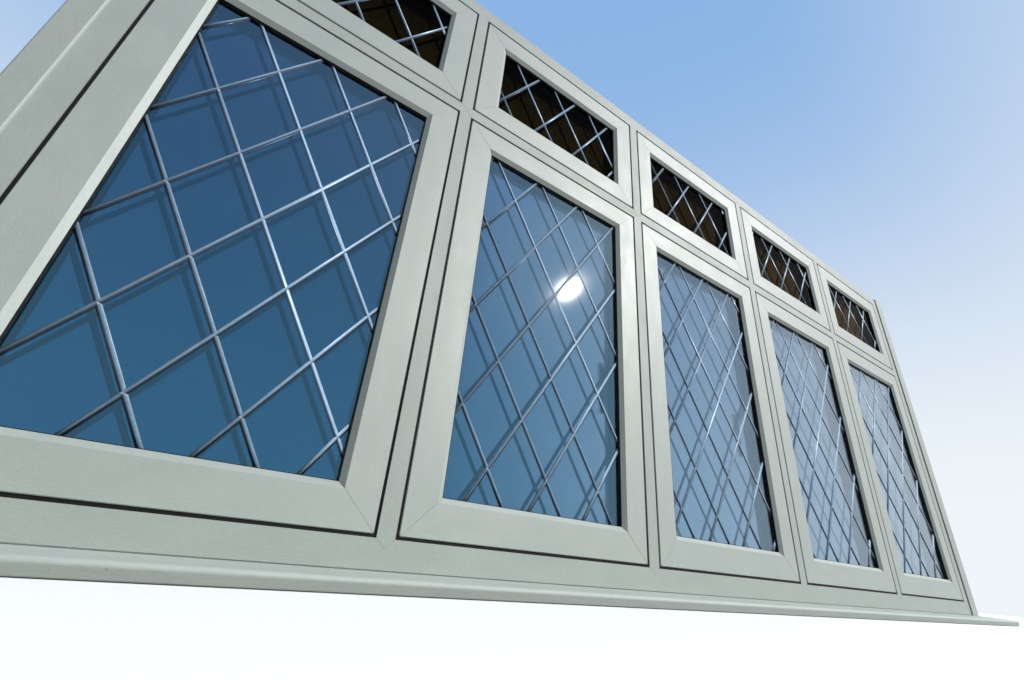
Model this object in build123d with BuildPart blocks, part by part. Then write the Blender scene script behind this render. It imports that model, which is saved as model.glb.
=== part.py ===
from build123d import *
from math import atan, degrees
import os

# Millimetres. X runs across the window, Y from the street face into the room, Z up.
# The origin is on the underside of the sill, below the middle of the frame,
# in the plane of the frame's street face.

# Casements: five columns, each with a tall one below a short one
columns = 5
sash_width = 483
lower_sash_height = 822
upper_sash_height = 317
sash_gap = 4.5

# Outer frame, mullions and transoms
frame_face = 39
bar_face = 26
frame_depth = 75
lip_overhang = 20
lip_thickness = 12

# Sash section
sash_depth = 60
sash_flat = 50
sash_bevel_width = 8
sash_bevel_depth = 6.5
sash_arris = 1
sash_corner_radius = 2.5
glazing_rebate_front = 9.5
glazing_cover = 14

# Weld lines at mitres and at the points of the bars
weld_groove_width = 0.8
weld_groove_depth = 0.35
weld_chamfer = 0.3

# Sealed unit, its gaskets and its bead
glass_thickness = 4
unit_thickness = 28
glass_edge_clearance = 3
spacer_width = 9
spacer_edge_inset = 1
gasket_thickness = 3
gasket_reveal = 1
gasket_seat_width = 7
bead_gasket_thickness = 2
bead_slope_width = 6

# Weather seals between sash and frame
gap_seal_setback = 2.5
gap_seal_depth = 6
lip_seal_width = 8
lip_seal_inset = 2

# End trims beside the frame
left_trim_face = 32
left_trim_lap = 8
right_trim_face = 51
right_trim_lap = 5
trim_proud = 4
trim_arris_radius = 2.5

# Sill
sill_seat_height = 20
sill_projection = 91
sill_fall = 4
sill_joint_chamfer = 1.6
sill_nose_lean = 4
sill_nose_top_radius = 5
sill_nose_bottom_radius = 2
sill_horn = 48
sill_horn_setback = 20
sill_cap_thickness = 3
drip_groove_width = 6
drip_groove_depth = 3
drip_groove_setback = 12

# Lever handles on the room side
handle_plate_length = 150
handle_plate_width = 24
handle_plate_thickness = 8
handle_plate_chamfer = 5
handle_neck_radius = 8
handle_neck_length = 20
handle_lever_length = 122
handle_lever_root_width = 20
handle_lever_tip_width = 14
handle_lever_thickness = 10
handle_lever_chamfer = 2
handle_edge_distance = 31

# Places worked out from the sizes above
sightline = sash_flat + sash_bevel_width
opening_width = sash_width + 2 * sash_gap
lower_opening = lower_sash_height + 2 * sash_gap
upper_opening = upper_sash_height + 2 * sash_gap
column_pitch = opening_width + bar_face
frame_width = columns * opening_width + (columns - 1) * bar_face + 2 * frame_face
frame_height = lower_opening + upper_opening + bar_face + 2 * frame_face
frame_foot = sill_seat_height
frame_top = frame_foot + frame_height
frame_left = -frame_width / 2
frame_right = frame_width / 2
transom_axis = frame_foot + frame_face + lower_opening + bar_face / 2
weld_inset = frame_face - bar_face / 2
lip_front = frame_depth - lip_thickness
glass_inset = sightline - glazing_cover + glass_edge_clearance
unit_front = glazing_rebate_front + gasket_thickness
unit_back = unit_front + unit_thickness
bead_front = unit_back + bead_gasket_thickness
left_end = frame_left - left_trim_face + left_trim_lap
right_end = frame_right + right_trim_face - right_trim_lap
column_centres = [(column - (columns - 1) / 2) * column_pitch for column in range(columns)]
mullion_axes = [centre + column_pitch / 2 for centre in column_centres[:-1]]
rows = {
    "lower": (frame_foot + frame_face + lower_opening / 2, lower_sash_height),
    "upper": (transom_axis + bar_face / 2 + upper_opening / 2, upper_sash_height),
}


def save(piece, name):
    """Label a finished piece and write its STEP file."""
    piece.part.label = name
    export_step(piece.part, f"parts/{name}.step")


def upright_plane(depth, x=0, z=0):
    """Upright plane at a depth behind the street face, seen from the street."""
    return Plane(origin=(x, depth, z), x_dir=(1, 0, 0), z_dir=(0, -1, 0))


def light_size(height, inset):
    """Width and height of a sash's outline moved inwards by inset."""
    return sash_width - 2 * inset, height - 2 * inset


def chamfer_welds():
    """Chamfer the slanting edges of the part in hand, on its street face and its room face."""
    upright_faces = faces().filter_by(Axis.Y)
    for face in (upright_faces.sort_by(Axis.Y)[0], upright_faces.sort_by(Axis.Y)[-1]):
        slanting = face.edges().filter_by(Axis.X, reverse=True).filter_by(Axis.Z, reverse=True)
        chamfer(slanting, weld_chamfer)


def side_outline(length, inset, axes):
    """Outline of a mitred frame side whose inner edge stands at inset, with a V for each bar."""
    half = inset - weld_inset
    inner = []
    for axis in axes:
        inner += [(axis - half, inset), (axis, weld_inset), (axis + half, inset)]
    return [(0, 0), (inset, inset), *inner, (length - inset, inset), (length, 0)]


def make_frame_side(name, start, along, length, axes, foot_chamfer=0):
    """One side of the outer frame: its face zone in front and its lip behind the sashes."""
    with BuildPart() as side:
        for back, thickness, inset in (
            (lip_front, lip_front, frame_face),
            (frame_depth, lip_thickness, frame_face + lip_overhang),
        ):
            with BuildSketch(Plane(origin=(start[0], back, start[1]), x_dir=along, z_dir=(0, -1, 0))):
                with BuildLine():
                    Polyline(*side_outline(length, inset, axes), close=True)
                make_face()
            extrude(amount=thickness)
        if foot_chamfer:
            foot_edges = side.edges().filter_by(Axis.X).group_by(Axis.Z)[0]
            chamfer(foot_edges.sort_by(Axis.Y)[0], foot_chamfer)
        chamfer_welds()
    save(side, name)


def make_bar(name, start, along, length):
    """A mullion or transom with a lip on each side and both ends cut to a right-angled point."""
    with BuildPart() as bar:
        for back, thickness, half in (
            (lip_front, lip_front, bar_face / 2),
            (frame_depth, lip_thickness, bar_face / 2 + lip_overhang),
        ):
            with BuildSketch(Plane(origin=(start[0], back, start[1]), x_dir=along, z_dir=(0, -1, 0))):
                with BuildLine():
                    Polyline(
                        (0, 0), (half, half), (length - half, half),
                        (length, 0), (length - half, -half), (half, -half), close=True,
                    )
                make_face()
            extrude(amount=thickness)
        chamfer_welds()
    save(bar, name)


def cut_opening(back, front, size, x, z, taper=0):
    """Cut a rectangular opening from back forward to front in the part in hand."""
    with BuildSketch(upright_plane(back, x, z)) as opening:
        Rectangle(*size)
    extrude(opening.sketch, amount=back - front, taper=taper, mode=Mode.SUBTRACT)


def cut_weld_groove(start, end, inward):
    """Cut a V-shaped groove in the part in hand, along a weld line on its surface."""
    run = Vector(*end) - Vector(*start)
    with BuildSketch(Plane(origin=start, x_dir=inward, z_dir=run)) as groove:
        with BuildLine():
            Polyline(
                (weld_groove_depth, 0),
                (-weld_groove_depth, weld_groove_width),
                (-weld_groove_depth, -weld_groove_width), close=True,
            )
        make_face()
    extrude(groove.sketch, amount=run.length, mode=Mode.SUBTRACT)


def make_sash(name, x, z, height):
    """A welded casement: bevelled towards the glass in front, rebated for it behind."""
    bevel_taper = -degrees(atan(sash_bevel_width / sash_bevel_depth))
    with BuildPart() as sash:
        with BuildSketch(upright_plane(sash_depth, x, z)):
            Rectangle(sash_width, height)
        extrude(amount=sash_depth)
        fillet(sash.edges().filter_by(Axis.Y), sash_corner_radius)
        chamfer(sash.faces().sort_by(Axis.Y)[0].edges(), sash_arris)
        cut_opening(sash_depth, 0, light_size(height, sightline), x, z)
        cut_opening(sash_bevel_depth, 0, light_size(height, sightline), x, z, bevel_taper)
        cut_opening(sash_depth, glazing_rebate_front, light_size(height, sightline - glazing_cover), x, z)
        for side in (-1, 1):
            for end in (-1, 1):
                outer, arris, inner = (
                    (x + side * (sash_width / 2 - inset), depth, z + end * (height / 2 - inset))
                    for inset, depth in ((0, 0), (sash_flat, 0), (sightline, sash_bevel_depth))
                )
                cut_weld_groove(outer, arris, (0, 1, 0))
                into_bevel = (side * sash_bevel_depth, 2 * sash_bevel_width, end * sash_bevel_depth)
                cut_weld_groove(arris, inner, into_bevel)
    save(sash, name)


def make_glass(name, x, z, height):
    """The two panes of one sealed unit."""
    with BuildPart() as glass:
        for back in (unit_front + glass_thickness, unit_back):
            with BuildSketch(upright_plane(back, x, z)):
                Rectangle(*light_size(height, glass_inset))
            extrude(amount=glass_thickness)
    save(glass, name)


def add_ring(back, front, x, z, height, outer_inset, inner_inset):
    """Add a rectangular ring to the part in hand, its edges given as insets from a sash's outline."""
    with BuildSketch(upright_plane(back, x, z)) as ring:
        Rectangle(*light_size(height, outer_inset))
        Rectangle(*light_size(height, inner_inset), mode=Mode.SUBTRACT)
    extrude(ring.sketch, amount=back - front)


def make_rings(name, rings):
    """One node of like rings: each entry gives its back, its front and its two insets."""
    with BuildPart() as node:
        for z, height in rows.values():
            for x in column_centres:
                for back, front, outer_inset, inner_inset in rings:
                    add_ring(back, front, x, z, height, outer_inset, inner_inset)
    save(node, name)


def make_glazing_beads():
    """Glazing beads that hold the sealed units from the room side, sloping back from the glass."""
    bead_depth = sash_depth - bead_front
    bead_taper = -degrees(atan(bead_slope_width / bead_depth))
    with BuildPart() as beads:
        for z, height in rows.values():
            for x in column_centres:
                with BuildSketch(upright_plane(sash_depth, x, z)):
                    Rectangle(*light_size(height, sightline - glazing_cover))
                extrude(amount=bead_depth)
                with BuildSketch(upright_plane(bead_front, x, z)):
                    Rectangle(*light_size(height, sightline))
                extrude(amount=-bead_depth, taper=bead_taper, mode=Mode.SUBTRACT)
    save(beads, "glazing_beads")


def make_trim(name, frame_edge, outward, face, lap):
    """An end trim as deep as the frame, standing proud of it and lapping over the jamb."""
    lip_edge = frame_edge - outward * lap
    outer_edge = lip_edge + outward * face
    with BuildPart() as trim:
        with BuildSketch(Plane.XY.offset(frame_foot)):
            with BuildLine():
                Polyline(
                    (lip_edge, 0), (lip_edge, -trim_proud), (outer_edge, -trim_proud),
                    (outer_edge, frame_depth), (frame_edge, frame_depth), (frame_edge, 0), close=True,
                )
            make_face()
        extrude(amount=frame_height)
        fillet(trim.faces().sort_by(Axis.Y)[0].edges().filter_by(Axis.Z), trim_arris_radius)
    save(trim, name)


def sill_section(x):
    """Section of the sill at x: a seat for the frame, a falling top, a rounded nose and a drip groove."""
    with BuildSketch(Plane(origin=(x, 0, 0), x_dir=(0, 1, 0), z_dir=(1, 0, 0))) as section:
        with BuildLine():
            Polyline(
                (frame_depth, 0), (frame_depth, sill_seat_height), (0, sill_seat_height),
                (-sill_projection, sill_seat_height - sill_fall),
                (sill_nose_lean - sill_projection, 0), close=True,
            )
        make_face()
        fillet(section.vertices().group_by(Axis.X)[0].sort_by(Axis.Y)[-1], sill_nose_top_radius)
        fillet(section.vertices().group_by(Axis.Y)[0].sort_by(Axis.X)[0], sill_nose_bottom_radius)
        with Locations((drip_groove_setback - sill_projection, 0)):
            Rectangle(drip_groove_width, 2 * drip_groove_depth, mode=Mode.SUBTRACT)
    return section.sketch


def cut_behind_horn(x_low, x_high):
    """Cut away what would lie behind a horn of the sill, where the wall stands."""
    with BuildSketch(Plane.XY) as notch:
        with Locations(((x_low + x_high) / 2, (frame_depth - sill_horn_setback) / 2)):
            Rectangle(x_high - x_low, frame_depth + sill_horn_setback)
    extrude(notch.sketch, amount=sill_seat_height, mode=Mode.SUBTRACT)


def make_sill():
    """The sill, with a horn past each end trim in front of the wall."""
    low = left_end - sill_horn + sill_cap_thickness
    high = right_end + sill_horn - sill_cap_thickness
    with BuildPart() as sill:
        extrude(sill_section(low), amount=high - low)
        cut_behind_horn(low, left_end)
        cut_behind_horn(right_end, high)
    save(sill, "sill")


def make_sill_cap(name, x_low):
    """The moulded cap on one end of the sill."""
    with BuildPart() as cap:
        extrude(sill_section(x_low), amount=sill_cap_thickness)
        cut_behind_horn(x_low, x_low + sill_cap_thickness)
    save(cap, name)


def handle_planes():
    """A plane on the back of every sash for its handle, with Y the way that the lever points."""
    planes = []
    for x in column_centres:
        z, height = rows["lower"]
        side = 1 if x <= 0 else -1
        stile = (x + side * (sash_width / 2 - handle_edge_distance), sash_depth, z)
        planes.append(Plane(origin=stile, x_dir=(1, 0, 0), z_dir=(0, 1, 0)))
        z, height = rows["upper"]
        rail = (x, sash_depth, z - height / 2 + handle_edge_distance)
        planes.append(Plane(origin=rail, x_dir=(0, 0, 1), z_dir=(0, 1, 0)))
    return planes


def make_handle_plates():
    """The back plate of each handle, screwed to the room side of its sash."""
    with BuildPart() as plates:
        for plane in handle_planes():
            with BuildSketch(plane) as outline:
                Rectangle(handle_plate_width, handle_plate_length)
                chamfer(outline.vertices(), handle_plate_chamfer)
            extrude(amount=handle_plate_thickness)
    save(plates, "handle_plates")


def make_handle_levers():
    """The lever of each handle on its round neck; shut, it hangs down or lies along the rail."""
    root = handle_lever_root_width / 2
    tip = handle_lever_tip_width / 2
    with BuildPart() as levers:
        for plane in handle_planes():
            with BuildSketch(plane.offset(handle_plate_thickness)):
                Circle(handle_neck_radius)
            extrude(amount=handle_neck_length)
            with BuildSketch(plane.offset(handle_plate_thickness + handle_neck_length)):
                with BuildLine():
                    Polyline(
                        (-root, -root), (root, -root),
                        (tip, handle_lever_length - root), (-tip, handle_lever_length - root), close=True,
                    )
                make_face()
            extrude(amount=handle_lever_thickness)
        chamfer(levers.faces().group_by(Axis.Y)[-1].edges(), handle_lever_chamfer)
    save(levers, "handle_levers")


os.makedirs("parts", exist_ok=True)

width_axes = [axis - frame_left for axis in mullion_axes]
transom_height = transom_axis - frame_foot
make_frame_side(
    "frame_bottom", (frame_left, frame_foot), (1, 0, 0), frame_width, width_axes, sill_joint_chamfer,
)
make_frame_side("frame_head", (frame_right, frame_top), (-1, 0, 0), frame_width, width_axes)
make_frame_side("frame_jamb_right", (frame_right, frame_foot), (0, 0, 1), frame_height, [transom_height])
make_frame_side(
    "frame_jamb_left", (frame_left, frame_top), (0, 0, -1), frame_height, [frame_height - transom_height],
)

lower_weld = frame_foot + weld_inset
upper_weld = frame_top - weld_inset
for number, axis in enumerate(mullion_axes, start=1):
    make_bar(f"mullion_lower_{number}", (axis, lower_weld), (0, 0, 1), transom_axis - lower_weld)
    make_bar(f"mullion_upper_{number}", (axis, transom_axis), (0, 0, 1), upper_weld - transom_axis)

weld_points = [frame_left + weld_inset, *mullion_axes, frame_right - weld_inset]
for number in range(1, columns + 1):
    low, high = weld_points[number - 1], weld_points[number]
    make_bar(f"transom_{number}", (low, transom_axis), (1, 0, 0), high - low)

for row, (z, height) in rows.items():
    for number, x in enumerate(column_centres, start=1):
        make_sash(f"sash_{row}_{number}", x, z, height)
        make_glass(f"glass_{row}_{number}", x, z, height)

make_rings("spacer_bars", [(
    unit_back - glass_thickness, unit_front + glass_thickness,
    glass_inset + spacer_edge_inset, glass_inset + spacer_edge_inset + spacer_width,
)])
gasket_edge = sightline + gasket_reveal
make_rings("glazing_gaskets", [
    (unit_front, glazing_rebate_front, sightline - gasket_seat_width, gasket_edge),
    (glazing_rebate_front, sash_bevel_depth, sightline, gasket_edge),
    (bead_front, unit_back, sightline - gasket_seat_width, gasket_edge),
])
make_rings("weather_seals", [
    (gap_seal_setback + gap_seal_depth, gap_seal_setback, -sash_gap, 0),
    (lip_front, sash_depth, lip_seal_inset, lip_seal_inset + lip_seal_width),
])
make_glazing_beads()
make_trim("end_trim_left", frame_left, -1, left_trim_face, left_trim_lap)
make_trim("end_trim_right", frame_right, 1, right_trim_face, right_trim_lap)
make_sill()
make_sill_cap("sill_end_cap_left", left_end - sill_horn)
make_sill_cap("sill_end_cap_right", right_end + sill_horn - sill_cap_thickness)
make_handle_plates()
make_handle_levers()
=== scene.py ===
"""Finish of a flush casement window: foil, leaded glass, seals and handles, with its studio."""

import math
import random

import bmesh
import bpy
from mathutils import Matrix, Vector


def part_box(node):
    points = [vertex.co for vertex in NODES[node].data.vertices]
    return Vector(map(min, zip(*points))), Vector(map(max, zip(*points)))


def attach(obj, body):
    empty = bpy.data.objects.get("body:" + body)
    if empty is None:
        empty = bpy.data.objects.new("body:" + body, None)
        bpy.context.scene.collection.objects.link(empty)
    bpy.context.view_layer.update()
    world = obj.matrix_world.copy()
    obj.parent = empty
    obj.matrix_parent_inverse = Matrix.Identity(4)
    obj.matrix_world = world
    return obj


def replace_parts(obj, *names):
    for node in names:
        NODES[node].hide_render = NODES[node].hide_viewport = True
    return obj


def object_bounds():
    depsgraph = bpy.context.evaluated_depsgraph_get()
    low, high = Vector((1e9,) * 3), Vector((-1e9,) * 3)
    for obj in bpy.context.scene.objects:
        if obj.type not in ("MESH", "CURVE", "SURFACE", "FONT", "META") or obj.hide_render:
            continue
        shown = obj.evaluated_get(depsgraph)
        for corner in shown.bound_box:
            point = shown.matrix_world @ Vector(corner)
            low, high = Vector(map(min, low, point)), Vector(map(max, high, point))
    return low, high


bl_info = {
    "name": "Flush Casement Window",
    "version": (1, 0, 0),
    "blender": (4, 5, 0),
    "location": "3D View > Sidebar > Window",
    "description": "Dresses a flush casement window: foil, leaded glass, seals, handles and studio",
    "category": "Object",
}

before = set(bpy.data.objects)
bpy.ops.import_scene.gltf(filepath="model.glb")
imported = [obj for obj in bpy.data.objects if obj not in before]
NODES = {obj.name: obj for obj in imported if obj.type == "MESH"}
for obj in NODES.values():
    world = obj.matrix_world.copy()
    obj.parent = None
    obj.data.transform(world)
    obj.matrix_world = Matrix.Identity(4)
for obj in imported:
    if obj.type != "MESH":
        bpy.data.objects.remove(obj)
CAD_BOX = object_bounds()
BODY = "root"
ROWS = ("lower", "upper")
COLUMNS = sum(name.startswith("sash_lower_") for name in NODES)
MM = 0.001
# Shift of each unit's lattice off the common pattern, and of a room-side lattice against it, in millimetres
LATTICE_SHIFTS = {
    "lower": ((-0.2, 2.5), (0.0, 1.2), (-2.5, 1.4), (1.7, -2.6), (1.0, -1.9)),
    "upper": ((3.4, 0.8), (-0.3, 1.5), (0.3, 1.6), (-5.3, 1.5), (-7.8, 1.5)),
}
ROOM_SHIFT = (-5.0, -9.0)
# Name of the layer that says how much painted light a place on the leads gets; where it gets none, the lead
# shows painted shade
PAINTED_LIGHT_LAYER = "painted_light"
# Most that the ends of a strip stray to either side, in millimetres
STRIP_WANDER = 0.4
STRIP_SEGMENTS = 16
# Rise of the strips that run under the others, as a share of theirs
CROSSED_RISE = 0.86
# Share of a strip's width, from its middle, past which its lower flank gets painted shade instead of painted
# light
PAINTED_SHADE_FROM = 0.1
SOLDER_SIZES = (0.88, 1.1)
# How far a strip is first made past the edge of the glass that shows
LINE_MARGIN = 0.02
# Facing values between which an outer pane turns pale as a painted reflection, and how little the unit at the
# left end does so
SLANT_RANGES = {"lower": (0.0, 0.41), "upper": (0.45, 0.80)}
END_UNIT_EDGE = (-0.84, -0.66)
END_UNIT_SLANT = 0.2
GLASS_GLOSS = {
    "lower": {"IOR": 2.0, "Specular Tint": (0.03, 0.50, 0.85, 1.0), "Coat Weight": 1.0, "Coat IOR": 1.45,
              "Coat Roughness": 0.04},
    "upper": {"IOR": 1.04},
}
MITRE_SHADE_REACH = 0.0012
MITRE_SHADE = (0.16, 0.18, 0.17, 1.0)
DIRT_FILM = (0.46, 0.47, 0.43, 1.0)
DIRT_SPECK = (0.12, 0.12, 0.10, 1.0)
RUBBER_DUST = (0.16, 0.15, 0.13, 1.0)
SPACER_HOLE_SHADE = (0.008, 0.008, 0.008, 1.0)
SPACER_METAL = (0.045, 0.047, 0.05, 1.0)
WHITE = (1.0, 1.0, 1.0, 1.0)
BLACK = (0.0, 0.0, 0.0, 1.0)
SUN_COLOUR = (1.0, 0.985, 0.95)
SKY_HEIGHTS = (0.10, 0.90)
# Nearness to the main light at which its halo and its core begin, and the core's extra brightness
HALO_START = 0.60
CORE_START = 0.97
CORE_GAIN = 1.4
FILL_SIDE = Vector((0.75, 0.0, 0.65)).normalized()
FILL_START = 0.58
FLOOR_GAP = 0.0005
FLOOR_SEGMENTS = 96
FLOOR_FADE = (0.35, 0.98)
PLATE_END_ROUNDING = 0.46
TIP_THINNING = 0.25
NECK_FLARE = 1.12


def node_box(name):
    """Lowest corner, highest corner and middle of a node of the frame."""
    low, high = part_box(name)
    return low, high, (low + high) / 2


def column_pitch():
    """Distance from one column of casements to the next."""
    return node_box("sash_lower_2")[2].x - node_box("sash_lower_1")[2].x


def length_setting(name, description, default):
    """A setting that is a length in metres."""
    return bpy.props.FloatProperty(name=name, description=description, unit="LENGTH", default=default)


def angle_setting(name, description, degrees):
    """A setting that is an angle."""
    return bpy.props.FloatProperty(name=name, description=description, subtype="ANGLE",
                                   default=math.radians(degrees))


def share_setting(name, description, default):
    """A setting between nothing and all."""
    return bpy.props.FloatProperty(name=name, description=description, default=default, min=0, max=1)


def strength_setting(name, description, default):
    """A setting that is nothing or more."""
    return bpy.props.FloatProperty(name=name, description=description, default=default, min=0)


def colour_setting(name, description, default):
    """A setting that is a colour."""
    return bpy.props.FloatVectorProperty(name=name, description=description, subtype="COLOR", size=3,
                                         default=default)


class StageSettings(bpy.types.PropertyGroup):
    """Camera, lamps and surroundings."""
    camera_place: bpy.props.FloatVectorProperty(
        name="Camera place", description="Where the camera stands", subtype="TRANSLATION", size=3,
        default=(-0.9983, -0.6414, 0.0407))
    camera_heading: angle_setting(
        "Camera heading", "Turn of the view from straight at the window towards the right", 31.12)
    camera_rise: angle_setting("Camera rise", "Tilt of the view above the horizon", 26.08)
    camera_roll: angle_setting("Camera roll", "Turn of the camera about its own line of sight", 5.29)
    camera_lens: bpy.props.FloatProperty(
        name="Camera lens", description="Focal length in millimetres on a 36 mm sensor",
        default=16.054, min=8)
    sun_heading: angle_setting(
        "Sun heading", "Side that the light comes from, from straight ahead to the right", 38.7)
    sun_height: angle_setting("Sun height", "Height of the main light above the horizon", 33.0)
    sun_strength: strength_setting("Sun strength", "Strength of the main light", 3.2)
    sun_spread: angle_setting("Sun spread", "Angular size of the main light, which softens its shadows", 1.0)
    fill_colour: colour_setting("Fill colour", "Colour of the light from all round", (0.88, 0.95, 1.0))
    fill_strength: strength_setting("Fill strength", "Strength of the light from all round", 0.085)
    fill_slant: strength_setting(
        "Fill slant", "Extra strength of that light on its brighter side, up and to the right", 3.8)
    glow_strength: strength_setting(
        "Glow strength", "Brightness that gloss and glass see round the main light", 0.45)
    horizon_colour: colour_setting(
        "Horizon colour", "Colour of the backdrop at the horizon", (0.86, 0.91, 0.95))
    zenith_colour: colour_setting("Zenith colour", "Colour of the backdrop high up", (0.26, 0.46, 0.78))
    floor_colour: colour_setting("Floor colour", "Colour of the studio floor", (0.80, 0.81, 0.81))
    floor_bounce: share_setting(
        "Floor bounce", "Share of its light that the floor throws back on the window", 0.2)
    floor_reach: bpy.props.FloatProperty(
        name="Floor reach", description="Radius of the studio floor", unit="LENGTH", default=9.0, min=2)


class FoilSettings(bpy.types.PropertyGroup):
    """The foil on frame, casements, trims and sill."""
    colour: colour_setting("Foil colour", "Main colour of the foil", (0.335, 0.378, 0.354))
    shade_colour: colour_setting("Shade colour", "Colour in the hollows of the grain", (0.290, 0.330, 0.309))
    cap_colour: colour_setting("Cap colour", "Colour of the moulded sill ends", (0.35, 0.392, 0.368))
    roughness: share_setting("Sheen roughness", "How far the satin sheen spreads", 0.50)
    frame_spread: strength_setting("Frame spread", "Extra roughness of frame, trims and sill", 0.10)
    frame_tone: strength_setting("Frame tone", "Brightness of frame and trims against the casements", 0.91)
    sill_tone: strength_setting("Sill tone", "Brightness of the sill against the casements", 1.07)
    grain_length: length_setting("Grain length", "Length of one streak of the grain", 0.009)
    grain_width: length_setting("Grain width", "Width of one streak of the grain", 0.0017)


class GlassSettings(bpy.types.PropertyGroup):
    """The sealed units."""
    # The outer panes' colours are painted reflections, not a tint in the glass: deep blue for the sky on the
    # tall panes
    tall_painted_sky: colour_setting(
        "Tall tint", "Tint of the outer panes of the tall casements", (0.004, 0.044, 0.110))
    # Pale painted reflection where a tall pane is seen along the glass
    tall_painted_graze: colour_setting(
        "Graze tint", "Tint of the tall casements' outer panes seen along the glass", (0.62, 0.78, 0.95))
    # Dark brown painted shade on the outer panes of the short casements
    short_painted_shade: colour_setting(
        "Short tint", "Tint of the outer panes of the short casements", (0.035, 0.014, 0.002))
    # Painted reflection where a short pane is seen along the glass
    short_painted_graze: colour_setting(
        "Short graze", "Tint of the short casements' outer panes seen along the glass", (0.20, 0.10, 0.02))
    inner_tint: colour_setting("Inner tint", "Tint of the inner panes", (0.88, 0.93, 0.95))
    pane_thickness: length_setting("Pane thickness", "Thickness of one pane", 0.004)
    arris: length_setting("Pane arris", "Ground edge of a pane", 0.0004)
    gasket_cover: length_setting("Gasket cover", "Width of glass that a gasket covers", 0.0081)


class LeadSettings(bpy.types.PropertyGroup):
    """The lattice of lead strips."""
    diamond_width: length_setting("Diamond width", "Width of one diamond of the lattice", 0.1192)
    diamond_height: length_setting("Diamond height", "Height of one diamond of the lattice", 0.1892)
    crossing_x: length_setting("Crossing across", "Place of one crossing across the window", 0.0272)
    crossing_z: length_setting("Crossing height", "Height of the same crossing", 0.4590)
    strip_width: length_setting("Strip width", "Width of a lead strip", 0.0069)
    strip_rise: length_setting("Strip rise", "Height of a strip above the glass", 0.0023)
    solder_width: length_setting("Solder width", "Width of the solder on a crossing", 0.0080)
    solder_rise: length_setting("Solder rise", "Height of the solder above the glass", 0.0024)
    # Share of painted light on the strips that rise to the right; the strips leaning the other way get all of
    # it
    forward_painted_light: share_setting(
        "Forward paleness", "How pale the strips that rise to the right have weathered", 0.9)
    bedding: bpy.props.FloatProperty(
        name="Bedding", description="Thickness of the adhesive between lead and glass", unit="LENGTH",
        default=0.00005, precision=5)
    # The lead is coloured blue as a painted reflection of the sky, on the flanks that get painted light
    colour: colour_setting("Lead colour", "Colour of the lead", (0.35, 0.50, 0.66))
    # Painted shade: colour of the strips' lower flanks, where the layer gives no painted light
    painted_shade_colour: colour_setting(
        "Dull colour", "Colour of the lead's sheltered lower flanks", (0.018, 0.026, 0.045))
    # The solder is coloured blue as a painted reflection of the sky
    solder_colour: colour_setting("Solder colour", "Colour of the solder", (0.38, 0.44, 0.54))


class HandleSettings(bpy.types.PropertyGroup):
    """The lever handles."""
    edge_distance: length_setting("Edge distance", "From a casement's edge to its handle", 0.031)
    plate_length: length_setting("Plate length", "Length of a back plate", 0.150)
    plate_width: length_setting("Plate width", "Width of a back plate", 0.024)
    plate_thickness: length_setting("Plate thickness", "Thickness of a back plate", 0.008)
    neck_radius: length_setting("Neck radius", "Radius of the neck of a lever", 0.008)
    neck_length: length_setting("Neck length", "From the back plate to the lever", 0.020)
    lever_length: length_setting("Lever length", "Length of a lever", 0.122)
    root_width: length_setting("Root width", "Width of a lever at its neck", 0.020)
    tip_width: length_setting("Tip width", "Width of a lever at its tip", 0.014)
    lever_thickness: length_setting("Lever thickness", "Thickness of a lever", 0.010)
    colour: colour_setting("Handle colour", "Colour of the plated handles", (0.56, 0.56, 0.57))
    edge_radius: length_setting("Edge radius", "Rounding of the plate's edges", 0.0022)
    lever_edge_radius: length_setting("Lever edge radius", "Rounding of a lever's edges", 0.0034)


SETTINGS = {
    "window_stage": StageSettings,
    "window_foil": FoilSettings,
    "window_glass": GlassSettings,
    "window_leads": LeadSettings,
    "window_handles": HandleSettings,
}


def feed(node, inputs):
    """Feed a node's sockets from values or from other sockets."""
    for socket, value in inputs.items():
        if isinstance(value, bpy.types.NodeSocket):
            node.id_data.links.new(value, node.inputs[socket])
        else:
            node.inputs[socket].default_value = value


def add_node(tree, kind, inputs=None, **settings):
    """Add a shader node, with settings, and feed its sockets."""
    node = tree.nodes.new(kind)
    for name, value in settings.items():
        setattr(node, name, value)
    feed(node, inputs or {})
    return node


def colour4(colour, tone=1.0):
    """A colour with full alpha, as shader sockets take it, darkened or lightened by a tone."""
    return (*(channel * tone for channel in colour), 1.0)


def maths(tree, operation, *values):
    """Result of a maths node."""
    return add_node(tree, "ShaderNodeMath", dict(enumerate(values)), operation=operation).outputs[0]


def mapped(tree, value, low, high, to_low=0.0, to_high=1.0, smooth=False):
    """A value mapped from one range to another and held inside it."""
    kind = "SMOOTHSTEP" if smooth else "LINEAR"
    inputs = {"Value": value, "From Min": low, "From Max": high, "To Min": to_low, "To Max": to_high}
    return add_node(tree, "ShaderNodeMapRange", inputs, interpolation_type=kind).outputs["Result"]


def blended(tree, factor, first, second):
    """Two colours mixed by a factor."""
    return add_node(tree, "ShaderNodeMix", {0: factor, 6: first, 7: second}, data_type="RGBA").outputs[2]


def noise(tree, vector, scale, detail=2.0, roughness=0.5, offset=(0, 0, 0), stretch=(1, 1, 1)):
    """Noise on a stretched and shifted vector."""
    mapping = add_node(tree, "ShaderNodeMapping", {"Vector": vector, "Location": offset, "Scale": stretch})
    inputs = {"Vector": mapping.outputs[0], "Scale": scale, "Detail": detail, "Roughness": roughness}
    return add_node(tree, "ShaderNodeTexNoise", inputs).outputs[0]


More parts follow.
